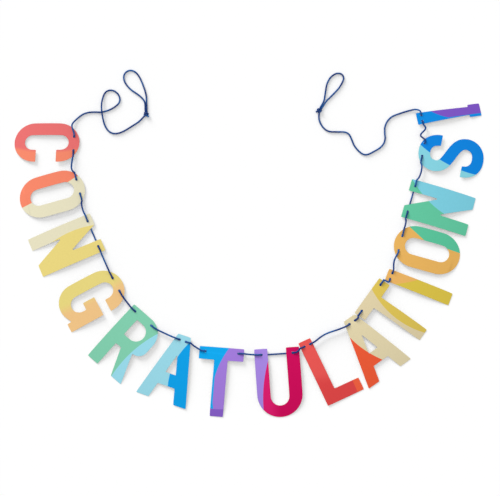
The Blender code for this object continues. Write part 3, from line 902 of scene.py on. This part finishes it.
# %% List the prints
soft = 0.10
sharp = 0.002
prints = {
    "01_c": ("#E8706F", [(soft / 3, "#F4886A", "right", [(0.095, 1.0), (0.148, 0.492), (0.08, 0)])]),
    "02_o": ("#F58668", [(sharp, "#E5DFC0", "right", [(-0.188, 0.97), (-0.113, 0.763), (0.064, 0.1)])]),
    "03_n": ("#E5DFC0", [(sharp, "#E8D57E", "right", [(-0.115, 1.0), (-0.161, 0.642), (-0.115, 0.284)])]),
    "04_g": ("#E6D57E", [(soft, "#EEC285", "right", [(-0.01, 1.0), (0.01, 0.5), (-0.035, 0)])]),
    "05_r": ("#80CCAC", [(sharp, "#97D8E8", "right", [(0.235, 0.9), (0.138, 0.5), (0.13, 0.1)])]),
    "06_a": ("#97D5E4", [(sharp, "#029DE4", "right", [(0.111, 0.941), (0.024, 0.721), (0.018, 0.25)])]),
    "07_t": ("#04A5EA", [(sharp, "#9E78D6", "right", [(0.106, 1.0), (-0.06, 0.6), (-0.07, 0.2)]),
                         (sharp, "#04A5EA", "left", [(-0.069, 1.0), (-0.069, 0.5), (-0.069, 0)]),
                         (sharp, "#835CC2", "down", [(-0.137, 0.118), (-0.007, 0.103), (0.123, 0.118)])]),
    "08_u": ("#A283DC", [(sharp, "#D8186A", "right", [(-0.133, 0.825), (-0.227, 0.445), (-0.249, 0.124)]),
                         (soft, "#C80056", "right", [(-0.02, 1.0), (-0.06, 0.5), (-0.08, 0)])]),
    "09_l": ("#E45450", [(soft, "#DA4444", "down", [(-0.29, 0.42), (0, 0.32), (0.29, 0.22)]),
                         (sharp, "#EC5E3E", "right", [(0.186, 1.0), (0.192, 0.15), (0.187, 0)])]),
    "10_a": ("#E85834", [(sharp, "#DCCFA8", "right", [(-0.154, 0.69), (-0.095, 0.48), (0.005, 0.27)])]),
    "11_t": ("#DACBA4", [(sharp, "#D8BE54", "right", [(0.086, 0.93), (-0.023, 0.586), (-0.008, 0.157)])]),
    "12_i": ("#D6BE46", [(sharp, "#E6B060", "right", [(-0.096, 0.843), (0.004, 0.671), (0.096, 0.543)])]),
    "13_o": ("#58C098", [(sharp, "#E4B05C", "left", [(0.106, 1.0), (0.108, 0.5), (0.093, 0.02)]),
                         (sharp, "#E4B05C", "left", [(0.368, 1.0), (0.215, 0.725), (0.112, 0.54)])]),
    "14_n": ("#60C29C", [(sharp, "#7ACADC", "right", [(0.016, 0.62), (-0.05, 0.48), (-0.11, 0.1)]),
                         (sharp, "#60C29C", "left", [(0.222, 1.0), (0.18, 0.9), (0.12, 0.84)])]),
    "15_s": ("#84D0DE", [(sharp, "#0482DC", "right", [(0.067, 1.0), (-0.122, 0.63), (-0.216, 0.212)])]),
    "16_mark": ("#038ADF", [(sharp, "#7C54C2", "right", [(0.038, 0.7), (-0.044, 0.55), (-0.078, 0.33)]),
                            (sharp, "#7C54C2", "down", [(-0.10, 0.30), (0, 0.30), (0.10, 0.30)]),
                            (sharp, "#038ADF", "left", [(-0.058, 1.0), (-0.058, 0.5), (-0.058, 0)])]),
}

# %% Make a printed front for each letter
letter_height = 0.127


def right_of(tree, x, y, points, softness):
    """0 to the left of a border through three points, and 1 to its right."""
    across, up = zip(*points)
    bend, slope, start = [float(value) for value in np.polyfit(up, across, 2)]
    inner = add_node(tree, "Math", {0: y, 1: bend, 2: slope}, operation="MULTIPLY_ADD")
    border = add_node(tree, "Math", {0: inner.outputs[0], 1: y, 2: start}, operation="MULTIPLY_ADD")
    past = add_node(tree, "Math", {0: x, 1: border.outputs[0]}, operation="SUBTRACT")
    field = add_node(tree, "MapRange", {"Value": past.outputs[0], "From Min": -softness,
                                        "From Max": softness}, interpolation_type="SMOOTHSTEP")
    return field.outputs["Result"]


def printed_front(letter):
    """Satin offset print on coated board, in the letter's fields of colour."""
    made, tree, shader = new_material("printed_board_" + letter["tag"])
    first, fields = prints[letter["tag"]]
    place = add_node(tree, "TexCoord").outputs["Object"]
    foot = letter["origin"] - up_from_foot(letter) * letter["reach"]
    shares = add_node(tree, "Mapping", {
        "Vector": place,
        "Location": foot,
        "Rotation": (0, 0, math.atan2(letter["along"].y, letter["along"].x)),
        "Scale": (letter_height, letter_height, letter_height),
    }, vector_type="TEXTURE")
    axes = add_node(tree, "SeparateXYZ", {"Vector": shares.outputs["Vector"]})
    x, y = axes.outputs["X"], axes.outputs["Y"]
    colour = linear(first)
    for softness, hex_colour, side, points in fields:
        if side == "right":
            share = right_of(tree, x, y, points, softness)
        else:
            # Mirrored or turned, so that the side to colour is the right one
            crossing, running = (x, y) if side == "left" else (y, x)
            turned = add_node(tree, "Math", {0: crossing, 1: -1}, operation="MULTIPLY").outputs[0]
            turned_points = [(-px, py) if side == "left" else (-py, px) for px, py in points]
            share = right_of(tree, turned, running, turned_points, softness)
        colour = add_node(tree, "Mix", {0: share, 6: colour, 7: linear(hex_colour)},
                          data_type="RGBA").outputs[2]
    # Ink takes slightly unevenly, in clouds about 3 mm wide
    clouds = add_node(tree, "TexNoise", {"Vector": place, "Scale": 320, "Detail": 4, "Roughness": 0.65})
    density = add_node(tree, "MapRange", {"Value": clouds.outputs["Fac"], "From Min": 0.25,
                                          "From Max": 0.75, "To Min": 0.96, "To Max": 1.01})
    inked = add_node(tree, "Mix", {0: 1, 6: colour, 7: density.outputs["Result"]},
                     data_type="RGBA", blend_type="MULTIPLY")
    tree.links.new(inked.outputs[2], shader.inputs["Base Color"])
    gloss = add_node(tree, "MapRange", {"Value": clouds.outputs["Fac"], "To Min": 0.5, "To Max": 0.65})
    tree.links.new(gloss.outputs["Result"], shader.inputs["Roughness"])
    tree.links.new(fibre_grain(tree, place, 0.12).outputs["Normal"], shader.inputs["Normal"])
    shader.inputs["IOR"].default_value = 1.5
    shader.inputs["Specular IOR Level"].default_value = 0.08
    return made


print_faces_up = 0.3
for letter in letters:
    card = cards[letter["tag"]]
    card.data.materials.clear()
    card.data.materials.append(printed_front(letter))
    card.data.materials.append(bare_board)
    for face in card.data.polygons:
        face.material_index = 0 if face.normal.z > print_faces_up else 1
most_fields = max(len(fields) for first, fields in prints.values())
print(len(letters), "printed fronts, at most", most_fields + 1, "fields of colour each")

# %% [markdown]
# ## Dyed cotton, with painted shade in its grooves
# The cord is navy cotton with a little wax, so it has a soft sheen and loose fibres that catch the
# light. The grooves between the strands are painted darker, as painted shade where little light
# reaches them. The UV map counts strands round the cord and millimetres along it, so the
# yarns follow the cord through every bend. One cut end shows paler in the photograph, so it gets a
# paler blue.

# %% Make the cord's cotton
def dyed_cotton_and_groove_shade(name, shade, light, groove_shade):
    """Laid cotton cord: fine yarns along each strand, painted shade in the grooves, soft sheen."""
    made, tree, shader = new_material(name)
    way = add_node(tree, "UVMap", uv_map="cord_way").outputs["UV"]
    axes = add_node(tree, "SeparateXYZ", {"Vector": way})
    strand = add_node(tree, "Math", {0: axes.outputs["X"]}, operation="FRACT").outputs[0]
    off_middle = add_node(tree, "Math", {0: strand, 1: 0.5}, operation="SUBTRACT").outputs[0]
    depth = add_node(tree, "Math", {0: off_middle}, operation="ABSOLUTE").outputs[0]
    # Painted shade: the grooves between the strands are darkened towards the groove shade colour
    groove_shade_mask = add_node(tree, "MapRange", {"Value": depth, "From Min": 0.24, "From Max": 0.5},
                      interpolation_type="SMOOTHSTEP").outputs["Result"]
    # Yarns about 0.3 mm wide and 2 mm long on the surface
    yarn_place = add_node(tree, "Mapping", {"Vector": way, "Scale": (9, 0.5, 1)})
    yarns = add_node(tree, "TexNoise", {"Vector": yarn_place.outputs["Vector"], "Scale": 1, "Detail": 3})
    place = add_node(tree, "TexCoord").outputs["Object"]
    # The dye takes unevenly, in stretches of about 25 mm
    stretches = add_node(tree, "TexNoise", {"Vector": place, "Scale": 42, "Detail": 1})
    uneven = add_node(tree, "MapRange", {"Value": stretches.outputs["Fac"], "From Min": 0.4,
                                         "From Max": 0.65})
    tone = add_node(tree, "Mix", {0: uneven.outputs["Result"], 6: linear(shade), 7: linear(light)},
                    data_type="RGBA")
    yarn_share = add_node(tree, "MapRange", {"Value": yarns.outputs["Fac"], "From Min": 0.3,
                                             "From Max": 0.7, "To Min": 0.8, "To Max": 1.15})
    thread = add_node(tree, "Mix", {0: 1, 6: tone.outputs[2], 7: yarn_share.outputs["Result"]},
                      data_type="RGBA", blend_type="MULTIPLY")
    colour = add_node(tree, "Mix", {0: groove_shade_mask, 6: thread.outputs[2], 7: linear(groove_shade)}, data_type="RGBA")
    bump = add_node(tree, "Bump", {"Strength": 0.5, "Distance": 0.0002, "Height": yarns.outputs["Fac"]})
    tree.links.new(colour.outputs[2], shader.inputs["Base Color"])
    tree.links.new(bump.outputs["Normal"], shader.inputs["Normal"])
    shader.inputs["Roughness"].default_value = 0.6
    shader.inputs["IOR"].default_value = 1.5
    shader.inputs["Specular IOR Level"].default_value = 0.15
    shader.inputs["Sheen Weight"].default_value = 0.05
    shader.inputs["Sheen Roughness"].default_value = 0.4
    return made


# The third colour of each cotton is painted shade for the grooves between the strands
navy_cotton = dyed_cotton_and_groove_shade("navy_waxed_cotton", "#103E86", "#2469B2", "#082258")
# The left cut end is given a paler blue than the rest of the cord
paler_cotton = dyed_cotton_and_groove_shade("faded_blue_cotton", "#1C68B4", "#2E86D0", "#10407C")
for piece in bpy.data.objects:
    if piece.name.startswith("cord_") and "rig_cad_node" not in piece:
        piece.data.materials.append(paler_cotton if piece.name == "cord_cut_end_left" else navy_cotton)

# %% [markdown]
# ## Table and light
# The banner lies on a plain white table in soft light. A wide, low sun lamp from the upper left
# gives the pale shadows to the lower right, and the even white surroundings fill them. Together
# they light a surface at about the level at which its colour shows as written. The table gives off
# a little light of its own, but only to what sees it directly or in a mirror, so it reaches white,
# still carries the banner's shadow and adds no light to the banner.

# %% Lay the table
fill_level = 0.72
key_level = 0.30
table_glow = 0.147
table_width = 8
# Just under the banner, so that no two faces share a plane
table_level = -0.0001


def seen_directly(tree):
    """1 for rays from the camera, a mirror or glass, and 0 for light that falls on the banner."""
    path = add_node(tree, "LightPath")
    mirrored = add_node(tree, "Math", {0: path.outputs["Is Camera Ray"],
                                       1: path.outputs["Is Glossy Ray"]}, operation="MAXIMUM")
    return add_node(tree, "Math", {0: mirrored.outputs[0], 1: path.outputs["Is Transmission Ray"]},
                    operation="MAXIMUM").outputs[0]


bpy.ops.mesh.primitive_plane_add(size=table_width, location=(0, 0, table_level))
table = bpy.context.object
table.name = "table_top"
table_white, tree, shader = new_material("white_laminate")
shader.inputs["Base Color"].default_value = linear("#ECECEC")
shader.inputs["Roughness"].default_value = 0.7
shader.inputs["Specular IOR Level"].default_value = 0
shader.inputs["Emission Color"].default_value = linear("#FFFFFF")
glow = add_node(tree, "Math", {0: seen_directly(tree), 1: table_glow}, operation="MULTIPLY")
tree.links.new(glow.outputs[0], shader.inputs["Emission Strength"])
table.data.materials.append(table_white)

# %% Light the scene
world = bpy.data.worlds.new("white_room")
bpy.context.scene.world = world
world.use_nodes = True
tree = world.node_tree
seen = seen_directly(tree)
strength = add_node(tree, "MapRange", {"Value": seen, "To Min": fill_level, "To Max": 1})
backdrop = tree.nodes["Background"]
backdrop.inputs["Color"].default_value = linear("#FFFFFF")
tree.links.new(strength.outputs["Result"], backdrop.inputs["Strength"])

sun_height = math.radians(19)
sun_spread = math.radians(25)
to_right, to_lower_edge = 0.55, 0.835
level_part = math.cos(sun_height)
travel = Vector((to_right * level_part, -to_lower_edge * level_part, -math.sin(sun_height)))
bpy.ops.object.light_add(type="SUN", location=(-1, 1, 1))
lamp = bpy.context.object
lamp.name = "window_light"
lamp.rotation_euler = travel.to_track_quat("-Z", "Y").to_euler()
lamp.data.energy = key_level * math.pi / math.sin(sun_height)
lamp.data.angle = sun_spread
bpy.context.scene.view_settings.view_transform = "Standard"
print("sun lamp of", round(lamp.data.energy, 2), "W per square metre")
